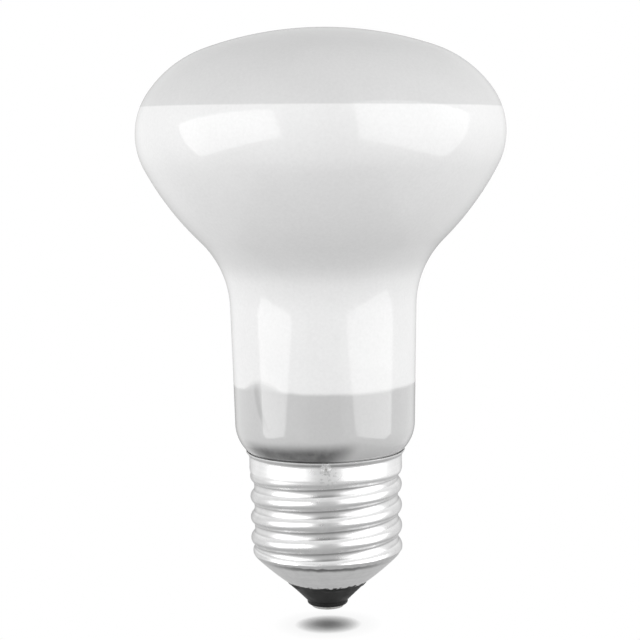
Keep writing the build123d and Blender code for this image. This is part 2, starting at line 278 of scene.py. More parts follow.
@dataclass(frozen=True)
class CoatedBulbGlass(Finish):
    """Blown soda-lime glass, frosted on the crown and mirror-coated inside down to the neck.

    The glossy outside shows the lights as clear patches, and the coats behind it look like satin
    silver and pale frost, with a softly sprayed edge where the bare neck begins (sizes in mm).
    """

    frost: str = "#dbdbdb"
    silver: str = "#f0f0f0"
    bare: str = "#c8c8c8"
    foot: str = "#606060"
    line_height: float = 87.05
    line_lean: float = 0.0126
    line_blur: float = 0.12
    coat_end: float = 40.07
    coat_fade: float = 0.9
    coat_sway: float = 0.3
    sway_length: float = 12.0
    spot_place: Place = (-10.7, -11.5, 40.05)
    spot_span: Point = (5.0, 0.5)
    spot_foot_rise: float = 0.1
    spot_head_rise: float = 2.6
    streak_top: float = 41.3
    streak_bow: float = 0.0285
    streak_place: float = -11.45
    streak_span: Point = (0.65, 0.15)
    streak_rise: Point = (33.0, 36.0)
    streak_depth: float = 0.16
    foot_side: Place = (-0.4, -0.917, 0.0)
    foot_span: Point = (10.2, 13.4)
    foot_lean: float = -0.025
    foot_fade: Point = (32.05, 29.75)
    foot_blotch: float = 2.2
    throat_height: float = 61.4
    throat_reach: float = 4.0
    throat_tone: float = 0.9
    grain: float = 0.5
    cloud: float = 14.0
    sheen: float = 0.015
    frost_rough: float = 0.6
    silver_rough: float = 0.42
    bare_rough: float = 0.12
    bare_shine: float = 0.4
    foot_shine: float = 0.2
    skin: float = 0.6
    skin_rough: float = 0.04
    skin_ior: float = 1.65

    def shade(self, add: AddNode, place: Socket) -> Inputs:
        """Lays frost, silver and bare glass by height, with painted shade at the foot and in the throat,
        under a clear glossy skin.

        Args:
            add: adds a node to the material.
            place: the Object coordinates in mm.

        Returns:
            Values and sockets by the names of the shader's inputs.
        """
        across, _, height = add("SeparateXYZ", (place,)).node.outputs

        # The frost ends at a sharp line that leans a little
        leaning = add("Math", (across, self.line_lean, height), operation="MULTIPLY_ADD")
        line, blur = self.line_height, self.line_blur
        frosted = add("MapRange", (leaning, line - blur, line + blur))

        # The sprayed silver ends in a soft, uneven edge, fainter and higher round one spot
        spot = add("VectorMath", (place, self.spot_place), "Value", operation="DISTANCE")
        spot = add("MapRange", (spot, *self.spot_span), **SOFT)
        sway = add("TexNoise", {"Vector": place, "Scale": 1 / self.sway_length, "Detail": 2.0})
        sway = add("MapRange", (sway, 0.3, 0.7, -self.coat_sway, self.coat_sway))
        uneven = add("Math", (height, sway), operation="ADD")
        end, fade = self.coat_end, self.coat_fade / 2
        low_end = add("Math", (spot, self.spot_foot_rise, end - fade), operation="MULTIPLY_ADD")
        high_end = add("Math", (spot, self.spot_head_rise, end + fade), operation="MULTIPLY_ADD")
        silvered = add("MapRange", (uneven, low_end, high_end), **SOFT)

        # A lead inside shows through the bare glass as a faint bowed streak
        drop = add("Math", (self.streak_top, height), operation="SUBTRACT")
        bow = add("Math", (drop, drop), operation="MULTIPLY")
        bow = add("Math", (bow, self.streak_bow, self.streak_place), operation="MULTIPLY_ADD")
        aside = add("Math", (across, bow), operation="SUBTRACT")
        aside = add("Math", (aside,), operation="ABSOLUTE")
        narrow = add("MapRange", (aside, *self.streak_span), **SOFT)
        depth = add("MapRange", (height, *self.streak_rise, 0.0, -self.streak_depth))
        streak = add("Math", (narrow, depth, 1.0), operation="MULTIPLY_ADD")

        # Painted shade: the bare glass at the foot is painted dark in patches, on the front side only, for
        # the cement and cap lying in shade behind it
        turn = add("VectorMath", (place, self.foot_side), "Value", operation="DOT_PRODUCT")
        facing = add("MapRange", (turn, *self.foot_span), **SOFT)
        slant = add("Math", (across, self.foot_lean, height), operation="MULTIPLY_ADD")
        low = add("MapRange", (slant, *self.foot_fade), **SOFT)
        blotch = add("TexNoise", {"Vector": place, "Scale": 1 / self.foot_blotch, "Detail": 4.0})
        patchy = add("MapRange", (blotch, 0.3, 0.6, 0.8, 1.0))
        dark = add("Math", (facing, low), operation="MULTIPLY")
        dark = add("Math", (dark, patchy), operation="MULTIPLY")

        # Grain of the frost and the sprayed coats, drawn coarser than real so that it shows
        speck = add("TexNoise", {"Vector": place, "Scale": 1 / self.grain, "Detail": 2.0})
        speck = add("MapRange", (speck, 0.25, 0.75, 0.975, 1.02))
        wash = add("TexNoise", {"Vector": place, "Scale": 1 / self.cloud, "Detail": 2.0})
        wash = add("MapRange", (wash, 0.3, 0.7, 0.98, 1.02))
        tone = add("Math", (speck, wash), operation="MULTIPLY")

        # Painted shade: the coat is painted greyer round the throat, where the flank above shades it
        throat_shade = add("Math", (height, self.throat_height), operation="SUBTRACT")
        throat_shade = add("Math", (throat_shade,), operation="ABSOLUTE")
        throat_shade = add("MapRange", (throat_shade, self.throat_reach, 0.0, 1.0, self.throat_tone), **SOFT)
        tone = add("Math", (tone, throat_shade), operation="MULTIPLY")

        # The bare glass, with the painted shade of the foot mixed in
        colour = add("Mix", {0: dark, 6: linear(self.bare), 7: linear(self.foot)}, 2, data_type="RGBA")
        colour = add("VectorMath", (colour, streak), operation="MULTIPLY")
        for share, coat in ((silvered, self.silver), (frosted, self.frost)):
            colour = add("Mix", {0: share, 6: colour, 7: linear(coat)}, 2, data_type="RGBA")
        colour = add("VectorMath", (colour, tone), operation="MULTIPLY")

        # Only the silver between line and edge has a trace of the sheen of metal
        plain = add("Math", (silvered, frosted), operation="SUBTRACT", use_clamp=True)
        metal = add("Math", (plain, self.sheen), operation="MULTIPLY")
        rough = add("MapRange", (frosted, 0.0, 1.0, self.silver_rough, self.frost_rough))
        rough = add("MapRange", (silvered, 0.0, 1.0, self.bare_rough, rough))

        # Under its skin, bare glass mirrors the lights at its inner face too, and less over the dark foot
        shine = add("MapRange", (silvered, 0.0, 1.0, self.bare_shine, 0.0))
        shine = add("MapRange", (low, 0.0, 1.0, shine, self.foot_shine))
        return {
            "Base Color": colour,
            "Metallic": metal,
            "Roughness": rough,
            "Specular IOR Level": shine,
            "Coat Weight": self.skin,
            "Coat Roughness": self.skin_rough,
            "Coat IOR": self.skin_ior,
        }


@dataclass(frozen=True)
class RolledAluminium(Finish):
    """Thin aluminium sheet, drawn and rolled into a thread.

    Bright and softly shining on the thread and collar, with fine rolling marks round the axis, painted
    shade as grey lines in the thread's roots and under the lip and as a dark line under the bend, and a
    duller cone that the tool did not polish (sizes in mm).
    """

    bright: str = "#d8d8d8"
    collar: str = "#eeeeee"
    valley: str = "#ececec"
    dull: str = "#e4e4e4"
    # Grey of the painted shade in the roots and under the lip, and of the flux stain
    shade_stain_grey: str = "#6a6a6a"
    # Grey of the painted shade under the bend
    bend_shade: str = "#303030"
    black: str = "#2c2c2c"
    bend: float = BEND_HEIGHT
    mouth: float = CONE_FOOT
    collar_base: float = COLLAR_BASE
    collar_blur: float = 0.3
    edge_blur: float = 0.12
    fray_length: float = 1.1
    fray_height: float = 0.1
    bend_shade_foot: float = 0.95
    bend_shade_full: float = 0.35
    mark_spacing: float = 0.22
    mark_stretch: float = 0.02
    scuff_length: float = 1.6
    joint_place: Place = (0.2, -13.2, 25.9)
    stain_span: Point = (2.6, 0.8)
    stain_depth: float = 0.3
    stain_speck: float = 0.45
    creep_length: float = 0.9
    creep_span: Point = (-0.2, 0.5)
    rough_span: Point = (0.28, 0.45)

    def shade(self, add: AddNode, place: Socket) -> Inputs:
        """Lays bright sheet, dull cone, rolling marks, a flux stain and painted shade in the roots, under the
        lip and under the bend.

        Args:
            add: adds a node to the material.
            place: the Object coordinates in mm.

        Returns:
            Values and sockets by the names of the shader's inputs.
        """
        height = add("SeparateXYZ", (place,), "Z")
        groove = add("Attribute", output="Fac", attribute_name="groove")

        # The polish ends at the bend in a slightly ragged line, with a line of painted shade under it,
        # darkest at the front, where the bend overhangs the cone
        fray = add("TexNoise", {"Vector": place, "Scale": 1 / self.fray_length, "Detail": 3.0})
        fray = add("MapRange", (fray, 0.3, 0.7, -self.fray_height, self.fray_height))
        frayed = add("Math", (height, fray), operation="ADD")
        cone = add("MapRange", (frayed, self.bend, self.bend - self.edge_blur))
        below = add("MapRange", (frayed, self.bend - self.bend_shade_foot, self.bend - self.bend_shade_full), **SOFT)
        outward = add("VectorMath", (place, (1.0, 1.0, 0.0)), operation="MULTIPLY")
        outward = add("VectorMath", (outward,), operation="NORMALIZE")
        ahead = add("VectorMath", (outward, (0.0, -1.0, 0.0)), "Value", operation="DOT_PRODUCT")
        front = add("MapRange", (ahead, 0.6, 1.0, 0.12, 0.75))
        bend_shade = add("Math", (below, cone), operation="MULTIPLY")
        bend_shade = add("Math", (bend_shade, front), operation="MULTIPLY")

        # Rolling marks: noise squeezed along the axis, so it runs round the cap
        marks = add("Mapping", {"Vector": place, "Scale": (self.mark_stretch, self.mark_stretch, 1.0)})
        marks = add("TexNoise", {"Vector": marks, "Scale": 1 / self.mark_spacing, "Detail": 3.0})
        marks = add("MapRange", (marks, 0.3, 0.7, 0.93, 1.0))
        rubbed = {"Vector": place, "Scale": 1 / self.scuff_length, "Detail": 5.0, "Roughness": 0.6}
        scuff = add("TexNoise", rubbed)
        rub = add("MapRange", (scuff, 0.35, 0.7, 1.0, 0.9))
        tone = add("Math", (marks, rub), operation="MULTIPLY")

        # Painted shade: two thin grey lines along each root and a band under the lip, darkest at the front
        onset = add("MapRange", (groove, 0.66, 0.8), **SOFT)
        relief = add("MapRange", (groove, 0.84, 0.97, 0.0, 0.75), **SOFT)
        root_shade_and_stain = add("Math", (onset, relief), operation="SUBTRACT")
        thick = add("MapRange", (ahead, 0.85, 1.0, 0.32, 0.68))
        root_shade_and_stain = add("Math", (root_shade_and_stain, thick), operation="MULTIPLY")

        # Flux has stained the collar round the solder joint
        joint = add("VectorMath", (place, self.joint_place), "Value", operation="DISTANCE")
        stain = add("MapRange", (joint, *self.stain_span, 0.0, self.stain_depth))
        speck = add("TexNoise", {"Vector": place, "Scale": 1 / self.stain_speck, "Detail": 3.0})
        speck = add("MapRange", (speck, 0.5, 0.6))
        stain = add("Math", (stain, speck), operation="MULTIPLY")
        root_shade_and_stain = add("Math", (root_shade_and_stain, stain), operation="MAXIMUM")

        # Black glass has run a little over the edge of the mouth
        creep = add("TexNoise", {"Vector": place, "Scale": 1 / self.creep_length, "Detail": 4.0})
        creep = add("MapRange", (creep, 0.3, 0.7, *self.creep_span))
        crept = add("Math", (height, creep), operation="SUBTRACT")
        run = add("MapRange", (crept, self.mouth + self.edge_blur, self.mouth))

        # The tones lie over each other in this order
        deep = add("MapRange", (groove, 0.1, 0.6))
        base, blur = self.collar_base, self.collar_blur
        plain = add("MapRange", (height, base - blur, base + blur))
        layers = [(deep, self.valley), (plain, self.collar), (cone, self.dull)]
        layers += [(root_shade_and_stain, self.shade_stain_grey), (bend_shade, self.bend_shade), (run, self.black)]
        colour = linear(self.bright)
        for share, layer in layers:
            colour = add("Mix", {0: share, 6: colour, 7: linear(layer)}, 2, data_type="RGBA")
        colour = add("VectorMath", (colour, tone), operation="MULTIPLY")
        rough = add("MapRange", (cone, 0.0, 1.0, *self.rough_span))
        worn = add("MapRange", (scuff, 0.3, 0.75, -0.03, 0.1))
        rough = add("Math", (rough, worn), operation="ADD")
        return {"Base Color": colour, "Roughness": rough, "Metallic": 1.0}


@dataclass(frozen=True)
class MottledFinish(Finish):
    """A plain finish with mottled colour and roughness: black glass, solder, brass, wire or cement."""

    light: str
    dark: str
    metallic: float
    smooth_rough: float
    worn_rough: float
    mottle: float
    specular: float = 0.5

    def shade(self, add: AddNode, place: Socket) -> Inputs:
        """Mixes the two tones by noise and roughens the darker spots.

        Args:
            add: adds a node to the material.
            place: the Object coordinates in mm.

        Returns:
            Values and sockets by the names of the shader's inputs.
        """
        spots = add("TexNoise", {"Vector": place, "Scale": 1 / self.mottle, "Detail": 4.0})
        share = add("MapRange", (spots, 0.35, 0.65))
        colour = add("Mix", {0: share, 6: linear(self.light), 7: linear(self.dark)}, 2, data_type="RGBA")
        rough = add("MapRange", (share, 0.0, 1.0, self.smooth_rough, self.worn_rough))
        return {
            "Base Color": colour,
            "Roughness": rough,
            "Metallic": self.metallic,
            "Specular IOR Level": self.specular,
        }


# Sub-assemblies


def seat(piece: Piece, finish: Finish, slot: Slot, *nodes: str) -> None:
    """Finishes a piece, lets it ride on the lamp in place of CAD nodes and reports it.

    Args:
        piece: the built piece.
        finish: its finish.
        slot: the record's material slot, which is reported with it.
        nodes: the CAD nodes that it stands for.
    """
    piece.data.materials.append(finish.material())
    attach(piece, "root")
    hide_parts(*nodes)
    log.info("%s: %d faces, %s", piece.name, len(piece.data.polygons), slot.value)


@dataclass
class GlassBulb:
    """The blown bulb: crown, brow, shoulder, flank, throat, neck, heel and seal (sizes in mm)."""

    diameter: float = 63.0
    crown_height: float = 17.75
    crown_angle: float = 19.0
    brow_angle: float = 55.0
    shoulder_radius: float = 12.5
    flank_radius: float = 50.0
    flank_height: float = 29.5
    throat_radius: float = 16.5
    neck_length: float = 20.3
    neck_taper: float = 1.3
    neck_diameter: float = 31.1
    heel_height: float = 4.7
    tuck_radius: float = 2.0
    rim: float = RIM_HEIGHT
    pass_radius: float = 13.42
    seal_radius: float = 11.02
    seal_end: float = 19.15
    seal_edge_radius: float = 2.0
    ripple_height: float = 0.02
    ripple_length: float = 17.0
    wide_step: float = 0.9
    middle_step: float = 0.8
    close_step: float = 0.6
    fine_step: float = 0.4
    neck_rows: int = 16
    columns: int = 192

    def crown_radii(self) -> Point:
        """Solves the crown and brow radii that reach the width within the crown's height.

        Returns:
            The crown's radius and the brow's.
        """
        sin_c, cos_c = math.sin(math.radians(self.crown_angle)), math.cos(math.radians(self.crown_angle))
        sin_b, cos_b = math.sin(math.radians(self.brow_angle)), math.cos(math.radians(self.brow_angle))
        reach = self.diameter / 2 - self.shoulder_radius * (1 - sin_b)
        drop = self.crown_height - self.shoulder_radius * cos_b
        scale = sin_c * (cos_c - cos_b) - (sin_b - sin_c) * (1 - cos_c)
        crown = (reach * (cos_c - cos_b) - drop * (sin_b - sin_c)) / scale
        return crown, (drop * sin_c - reach * (1 - cos_c)) / scale

    def profile(self) -> list[Point]:
        """Draws the half section as tangent arcs from the crown down to the seal.

        Returns:
            Radius and height points in mm.
        """
        def polar(radius: float, angle: float) -> Vector:
            """Gives the point at an angle on a circle about the origin."""
            return Vector((radius * math.cos(math.radians(angle)), radius * math.sin(math.radians(angle))))

        def heading(start: Vector, end: Vector) -> float:
            """Gives the angle of the way from one point to another."""
            return math.degrees(math.atan2(end.y - start.y, end.x - start.x))

        # Centres of the arcs above the neck
        outward = polar(1, -self.neck_taper)
        heel = Vector((self.neck_diameter / 2, self.rim + self.heel_height))
        neck_top = heel + Vector((-outward.y, outward.x)) * self.neck_length
        widest = neck_top.y + self.flank_height
        crown_radius, brow_radius = self.crown_radii()
        crown = Vector((0, widest + self.crown_height - crown_radius))
        brow = crown + polar(crown_radius - brow_radius, 90 - self.crown_angle)
        shoulder = Vector((self.diameter / 2 - self.shoulder_radius, widest))
        throat = neck_top + outward * self.throat_radius
        near, far = self.flank_radius - self.shoulder_radius, self.flank_radius + self.throat_radius
        between = throat - shoulder
        along = (near**2 - far**2 + between.length**2) / (2 * between.length)
        way = between.normalized()
        flank = shoulder + way * along + Vector((way.y, -way.x)) * math.sqrt(near**2 - along**2)
        flank_top, flank_foot = heading(flank, shoulder), heading(flank, throat)

        # Centres of the arcs from the neck in through the rim to the seal
        pass_point = Vector((self.pass_radius, self.rim))
        chord = heel - pass_point
        heel_radius = chord.length**2 / (2 * chord.dot(outward))
        heel_centre = heel - outward * heel_radius
        heel_end = heading(heel_centre, pass_point)
        tuck_end = (heel_end - 90) / 2
        tuck = heel_centre + polar(heel_radius - self.tuck_radius, heel_end)
        tuck_foot = tuck + polar(self.tuck_radius, tuck_end)
        root_radius = (tuck_foot.x - self.seal_radius) / (1 - math.cos(math.radians(tuck_end)))
        root = tuck + polar(self.tuck_radius + root_radius, tuck_end)
        edge = Vector((self.seal_radius - self.seal_edge_radius, self.seal_end + self.seal_edge_radius))

        brow_top, brow_foot, taper = 90 - self.crown_angle, 90 - self.brow_angle, self.neck_taper
        points = arc(crown, crown_radius, 90, -self.crown_angle, self.wide_step)
        points += arc(brow, brow_radius, brow_top, brow_foot - brow_top, self.middle_step)
        points += arc(shoulder, self.shoulder_radius, brow_foot, flank_top - brow_foot, self.close_step)
        points += arc(flank, self.flank_radius, flank_top, flank_foot - flank_top, self.wide_step)
        points += arc(throat, self.throat_radius, flank_foot + 180, -taper - flank_foot, self.middle_step)
        points += [tuple(neck_top.lerp(heel, i / self.neck_rows)) for i in range(self.neck_rows)]
        points += arc(heel_centre, heel_radius, -taper, heel_end + taper, self.fine_step)
        points += arc(tuck, self.tuck_radius, heel_end, tuck_end - heel_end, self.fine_step)
        points += arc(root, root_radius, tuck_end + 180, -tuck_end, self.close_step)
        points += [(self.seal_radius, root.y), (self.seal_radius, edge.y)]
        points += arc(edge, self.seal_edge_radius, 0, -90, self.close_step)[1:]
        points += [(edge.x, self.seal_end), (0, self.seal_end)]
        points[0] = (0, points[0][1])
        return points

    def build(self) -> Piece:
        """Spins the bulb and gives its glass the faint ripple of blown work.

        Returns:
            The finished bulb.
        """
        bulb = turned_piece("glass_bulb", self.profile(), self.columns)
        for vertex in bulb.data.vertices:
            radius = math.hypot(vertex.co.x, vertex.co.y)
            if vertex.co.z > (self.rim + self.heel_height) * MM and radius > MM:
                wave = -abs(ripple(vertex.co, self.ripple_length)) * self.ripple_height * MM
                vertex.co += Vector((vertex.co.x, vertex.co.y, 0)) / radius * wave
        smooth(bulb, angle=40)
        return bulb

    def dress(self, bulb: Piece, finish: Finish) -> None:
        """Coats the bulb and seats it in place of the glass node."""
        seat(bulb, finish, Slot.GLASS, "glass_envelope")


@dataclass
class ScrewCap:
    """The rolled cap shell: cone, bend, thread, collar and flared lip (sizes in mm)."""

    wall: float = 0.3
    crest_radius: float = 13.17
    thread_depth: float = 0.74
    core_clearance: float = 0.03
    pitch: float = 3.629
    helix_start: float = 7.4
    mouth_radius: float = MOUTH_RADIUS
    cone_foot: float = CONE_FOOT
    cone_bow: float = 0.22
    bend: float = BEND_HEIGHT
    bend_reach: float = 0.4
    land_radius: float = 12.85
    land_top: float = 10.85
    thread_foot: float = 11.35
    runout_foot: float = 10.25
    runout_rise: float = 1.0
    collar_foot: float = 23.5
    collar_base: float = COLLAR_BASE
    collar_reach: float = 0.45
    collar_radius: float = 13.25
    lip_foot: float = 27.3
    lip_radius: float = 13.87
    # Groove value under the lip, which the metal's finish turns into painted shade
    lip_shade: float = 0.765
    rim: float = RIM_HEIGHT
    bead: float = 0.18
    bead_rows: int = 5
    notch_foot: float = 26.85
    notch_width: float = 0.5
    softness: float = 0.14
    row: float = 0.14
    columns: int = 216

    def sheet_radius(self, height: float) -> float:
        """Works out the radius of the cap without its thread ridge.

        Args:
            height: the height in mm.

        Returns:
            The radius in mm.
        """
        core = self.crest_radius - self.thread_depth + self.core_clearance
        knots = [
            (self.cone_foot, self.mouth_radius),
            (self.bend, self.land_radius),
            (self.land_top, self.land_radius),
            (self.thread_foot, core),
            (self.collar_foot, core),
            (self.collar_base, self.collar_radius),
            (self.lip_foot, self.collar_radius),
            (self.rim, self.lip_radius),
        ]
        for (low, start), (high, end) in zip(knots, knots[1:]):
            if height <= high:
                share = (height - low) / (high - low)
                bow = 4 * share * (1 - share) * self.cone_bow if high == self.bend else 0.0
                return start + (end - start) * share + bow
        return self.lip_radius

    def soft_radius(self, height: float) -> float:
        """Works out the sheet's radius with its corners rounded as rolled metal has them.

        Args:
            height: the height in mm.

        Returns:
            The radius in mm.
        """
        reach = self.softness
        for corner, wide in ((self.bend, self.bend_reach), (self.collar_base, self.collar_reach)):
            if abs(height - corner) < wide:
                reach = wide
        reach = min(reach, height - self.cone_foot, self.rim - height)
        return sum(self.sheet_radius(height + reach * step / 2) for step in (-2, -1, 0, 1, 2)) / 5

    def ridge_radius(self, angle: float, height: float) -> float:
        """Works out the radius of the rolled thread wave, which is made of equal arcs.

        Args:
            angle: the angle round the axis in radians.
            height: the height in mm.

        Returns:
            The radius in mm.
        """
        chord, rise = self.pitch / 4, self.thread_depth / 2
        round_radius = (chord**2 + rise**2) / (2 * rise)
        turns = (height - self.helix_start) / self.pitch - angle / (2 * math.pi)
        off = abs(turns - round(turns)) * self.pitch
        if off <= chord:
            return self.crest_radius - round_radius + math.sqrt(round_radius**2 - off**2)
        root = self.crest_radius - self.thread_depth
        return root + round_radius - math.sqrt(round_radius**2 - (self.pitch / 2 - off) ** 2)

    def radius(self, angle: float, height: float) -> float:
        """Works out the cap's outside radius, with thread, run-out and rim bead.

        Args:
            angle: the angle round the axis in radians.
            height: the height in mm.

        Returns:
            The radius in mm.
        """
        sheet = self.soft_radius(height)
        over = height - self.rim + self.bead
        if over > 0:
            return sheet - self.bead + math.sqrt(max(0.0, self.bead**2 - over**2))
        if not self.runout_foot < height < self.collar_base + self.softness:
            return sheet
        slope = (self.crest_radius + self.runout_rise - self.land_radius) / (self.pitch / 2)
        runout = self.land_radius + (height - self.runout_foot) * slope
        ridge = min(self.ridge_radius(angle, height), runout)
        blend = max(0.0, 1 - abs(sheet - ridge) / self.softness)
        return max(sheet, ridge) + blend**2 * self.softness / 4

    def build(self) -> Piece:
        """Spins the sheet, rolls the thread into it, notches the rim and gives it its wall.

        Returns:
            The finished cap shell, with the depth of its thread as the attribute groove, and under the lip a
            set value that the metal's finish turns into painted shade.
        """
        rows = math.ceil((self.rim - self.cone_foot) / self.row)
        heights = [self.cone_foot + (self.rim - self.bead - self.cone_foot) * i / rows for i in range(rows)]
        quarters = [math.pi / 2 * i / self.bead_rows for i in range(self.bead_rows + 1)]
        heights += [self.rim - self.bead * math.cos(a) for a in quarters]
        cap = turned_piece("cap_sheet", [(self.soft_radius(z), z) for z in heights], self.columns)
        groove = cap.data.attributes.new("groove", "FLOAT", "POINT")
        for vertex in cap.data.vertices:
            angle = math.atan2(vertex.co.y, vertex.co.x)
            height = vertex.co.z / MM
            radius = self.radius(angle, height)
            vertex.co.x = radius * math.cos(angle) * MM
            vertex.co.y = radius * math.sin(angle) * MM
            depth = 0.0
            if self.land_top < height < self.collar_base:
                depth = max(0.0, min(1.0, (self.crest_radius - radius) / self.thread_depth))
            # Under the lip the groove takes a set value, which the metal's finish paints as shade
            elif self.lip_foot <= height <= self.rim - self.bead:
                depth = self.lip_shade
            groove.data[vertex.index].value = depth
        self.notch(cap)
        thicken(cap, self.wall, even=True)
        smooth(cap, angle=45)
        return cap

    def notch(self, cap: Piece) -> None:
        """Cuts the notch for the side wire out of the rim at the front.

        Args:
            cap: the cap's sheet, which is then the active object.
        """
        pick(cap)
        bpy.ops.object.mode_set(mode="EDIT")
        bpy.ops.mesh.select_mode(type="FACE")
        bpy.ops.mesh.select_all(action="DESELECT")
        bpy.ops.object.mode_set(mode="OBJECT")
        for face in cap.data.polygons:
            middle = face.center / MM
            face.select = middle.y < 0 and middle.z > self.notch_foot and abs(middle.x) < self.notch_width / 2
        bpy.ops.object.mode_set(mode="EDIT")
        bpy.ops.mesh.delete(type="FACE")
        bpy.ops.mesh.select_mode(type="VERT")
        bpy.ops.object.mode_set(mode="OBJECT")

    def dress(self, cap: Piece, finish: Finish) -> None:
        """Gives the cap its metal and seats it in place of the shell node."""
        seat(cap, finish, Slot.ALUMINIUM, "cap_shell")


@dataclass
class CapEnd:
    """The black glass insulator, the contact eyelet and its solder (sizes in mm)."""

    nose_radius: float = 3.55
    nose_foot: float = 0.75
    nose_top: float = 1.5
    nose_edge: float = 0.5
    nose_rows: int = 14
    cone_foot: float = CONE_FOOT
    mouth_radius: float = MOUTH_RADIUS
    seat_foot_radius: float = 6.645
    seat_top_radius: float = 9.15
    seat_top: float = 7.2
    tube_radius: float = 1.3
    tube_top: float = 3.75
    bore_radius: float = 0.9
    eyelet_radius: float = 2.8
    eyelet_seat_radius: float = 2.1
    eyelet_foot: float = 0.25
    eyelet_edge: float = 0.25
    solder_radius: float = 1.9
    solder_flat: float = 1.0
    solder_rows: int = 8
    solder_wave: float = 0.16
    solder_wave_length: float = 1.3
    plug_top: float = 1.45
    swell: float = 0.04
    swell_length: float = 2.6
    swell_foot: float = 0.1
    swell_radius: float = 2.5
    ragged: float = 0.3
    ragged_length: float = 1.7
    ragged_band: float = 0.7
    ragged_radius: float = 6.2
    ragged_shift: Place = (0.0, 0.0, 3.0)

    def build_insulator(self) -> Piece:
        """Spins the insulator and makes its poured edge ragged where it meets the metal.

        Returns:
            The finished insulator.
        """
        corner = Vector((self.nose_radius - self.nose_edge, self.nose_foot + self.nose_edge))
        profile = [(self.tube_radius, self.nose_foot), (self.eyelet_seat_radius, self.nose_foot)]
        profile += arc(corner, self.nose_edge, -90, 90, step=0.15)
        profile.append((self.nose_radius, corner.y))
        for share in (i / self.nose_rows for i in range(self.nose_rows)):
            profile.append((self.nose_radius + (self.mouth_radius - self.nose_radius) * share,
                            self.nose_top + (self.cone_foot - self.nose_top) * share))
        profile += [(self.mouth_radius, self.cone_foot), (self.seat_foot_radius, self.cone_foot)]
        profile += [(self.seat_top_radius, self.seat_top), (self.tube_radius, self.seat_top)]
        profile.append(profile[0])
        insulator = turned_piece("insulator_glass", profile, steps=144)
        for vertex in insulator.data.vertices:
            radius = math.hypot(vertex.co.x, vertex.co.y)
            height = vertex.co.z / MM
            outside = radius > self.swell_radius * MM
            if outside and self.nose_foot + self.swell_foot < height <= self.cone_foot:
                outward = Vector((vertex.co.x, vertex.co.y, 0)) / radius
                vertex.co += outward * ripple(vertex.co, self.swell_length) * self.swell * MM
                if height > self.cone_foot - self.ragged_band and radius > self.ragged_radius * MM:
                    wave = ripple(vertex.co + Vector(self.ragged_shift), self.ragged_length)
                    vertex.co.z += min(0.0, wave) * self.ragged * MM
        smooth(insulator, angle=40)
        return insulator

    def build_eyelet(self) -> Piece:
        """Spins the eyelet with its rounded flange and its tube.

        Returns:
            The finished eyelet.
        """
        edge = self.eyelet_edge
        profile = [(self.bore_radius, self.eyelet_foot), (self.eyelet_radius - edge, self.eyelet_foot)]
        profile += arc(Vector((self.eyelet_radius - edge, self.eyelet_foot + edge)), edge, -90, 90, step=0.06)
        profile += [(self.eyelet_radius, self.nose_foot), (self.tube_radius, self.nose_foot)]
        profile += [(self.tube_radius, self.tube_top), (self.bore_radius, self.tube_top)]
        profile.append(profile[0])
        eyelet = turned_piece("contact_flange", profile, steps=96)
        smooth(eyelet, angle=40)
        return eyelet

    def build_solder(self) -> Piece:
        """Spins the flattened solder drop and makes its side uneven, as it froze.

        Returns:
            The finished drop.
        """
        flat, wide, top = self.solder_flat, self.solder_radius, self.eyelet_foot
        profile = [(0, 0), (flat * 0.5, 0), (flat, 0)]
        quarters = [math.pi / 2 * i / self.solder_rows for i in range(1, self.solder_rows)]
        profile += [(flat + (wide - flat) * math.sin(a), top * (1 - math.cos(a))) for a in quarters]
        profile += [(wide, top), (self.bore_radius, top)]
        profile += [(self.bore_radius, self.plug_top), (0, self.plug_top)]
        drop = turned_piece("solder_drop", profile, steps=72)
        for vertex in drop.data.vertices:
            radius = math.hypot(vertex.co.x, vertex.co.y)
            if 0.02 * MM < vertex.co.z < top * MM and radius > flat * MM:
                wave = ripple(vertex.co, self.solder_wave_length) * self.solder_wave * MM
                vertex.co += Vector((vertex.co.x, vertex.co.y, 0)) / radius * wave
        smooth(drop, angle=50)
        return drop

    def dress(self, pieces: tuple[Piece, ...], finishes: tuple[Finish, ...]) -> None:
        """Finishes the insulator, the eyelet and the solder and seats them.

        Args:
            pieces: the three pieces, in that order.
            finishes: their finishes.
        """
        slots = (Slot.BLACK_GLASS, Slot.BRASS, Slot.SOLDER)
        nodes = ("cap_insulator", "contact_eyelet", "tip_solder")
        for piece, finish, slot, node in zip(pieces, finishes, slots, nodes):
            seat(piece, finish, slot, node)


